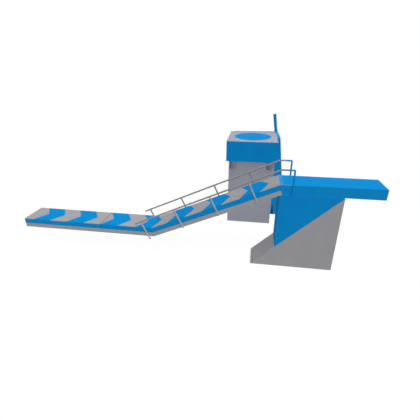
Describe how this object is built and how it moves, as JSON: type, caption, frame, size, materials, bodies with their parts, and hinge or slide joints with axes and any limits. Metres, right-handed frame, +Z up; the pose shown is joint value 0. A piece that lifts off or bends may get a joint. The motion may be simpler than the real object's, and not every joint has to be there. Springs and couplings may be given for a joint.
{
  "type": "diving board",
  "caption": "Diving board hinged on a sloping pier, reached by a railed ramp and a level walkway with chevron grip panels, with a free-standing tower behind it.",
  "frame": {"origin": "foot of the pier's pool face, in the middle of its width, on the floor", "axes": "+X along the board towards its free end over the pool, +Y across the board towards the tower's side, +Z up"},
  "size_m": [20.0387, 8.8514, 7.1135],
  "materials": {
    "grey_concrete": "matte",
    "blue_concrete": "matte",
    "blue_paint": "satin",
    "grey_paint": "satin",
    "blue_grip": "matte",
    "grey_grip": "matte",
    "dark_paint": "satin",
    "black_rubber": "matte",
    "steel": "satin",
    "bronze": "satin",
    "tower_panel": "matte"
  },
  "bodies": {
    "stand": {"wedge_foot": "grey_concrete", "pier": "blue_concrete", "dowels": "steel", "seat_strips": "black_rubber", "hinge_shaft": "steel", "fulcrum_axle": "steel", "fulcrum_bearings": "dark_paint", "fulcrum_bolts": "steel", "landing_crosspiece": "blue_paint", "landing_upstand": "steel", "landing_cheek_front": "blue_paint", "landing_cheek_back": "blue_paint", "landing_bolts": "blue_paint", "landing_strips": "grey_grip", "walkway_deck_a": "blue_paint", "walkway_deck_b": "blue_paint", "walkway_beam_a": "grey_paint", "walkway_beam_b": "grey_paint", "ramp_deck": "blue_paint", "ramp_beam": "grey_paint", "ramp_head_studs": "steel", "seam_gasket": "black_rubber", "seam_bolts": "steel", "joists": "grey_paint", "bend_gussets": "grey_paint", "walkway_grip_grey": "grey_grip", "walkway_grip_blue": "blue_grip", "ramp_grip_grey": "grey_grip", "ramp_grip_blue": "blue_grip", "rail_front": "grey_paint", "rail_back": "grey_paint", "posts_front": "grey_paint", "posts_back": "grey_paint", "hoop_front": "blue_paint", "hoop_back": "blue_paint", "rail_spigots": "steel", "tube_caps": "grey_paint", "clamps_front": "blue_paint", "clamps_back": "blue_paint", "clamp_studs_front": "blue_paint", "clamp_studs_back": "blue_paint", "hoop_feet": "blue_paint", "tower_end_walls": "tower_panel", "tower_side_walls": "tower_panel", "tower_head": "blue_concrete", "tower_top": "tower_panel", "tower_disc": "blue_grip", "tower_housings": "dark_paint", "tower_annex": "blue_paint", "annex_hatch": "dark_paint", "tower_mast": "blue_paint"},
    "board": {"board_shell": "blue_paint", "board_tread": "blue_paint", "board_nosing": "blue_paint", "board_ribs": "grey_paint", "hinge_tube": "blue_paint", "hinge_bushes": "bronze", "fulcrum_wear_plate": "steel"},
    "roller": {"fulcrum_roller": "steel"}
  },
  "joints": [
    {"name": "board_hinge", "type": "hinge", "parent": "stand", "child": "board", "pos_m": [-2.908, 0, 4.67], "axis": [0, -1, 0], "range_deg": [0, 2]},
    {"name": "fulcrum_roller_spin", "type": "hinge", "parent": "stand", "child": "roller", "pos_m": [-0.65, 0, 4.2017], "axis": [0, 1, 0], "continuous": true}
  ]
}
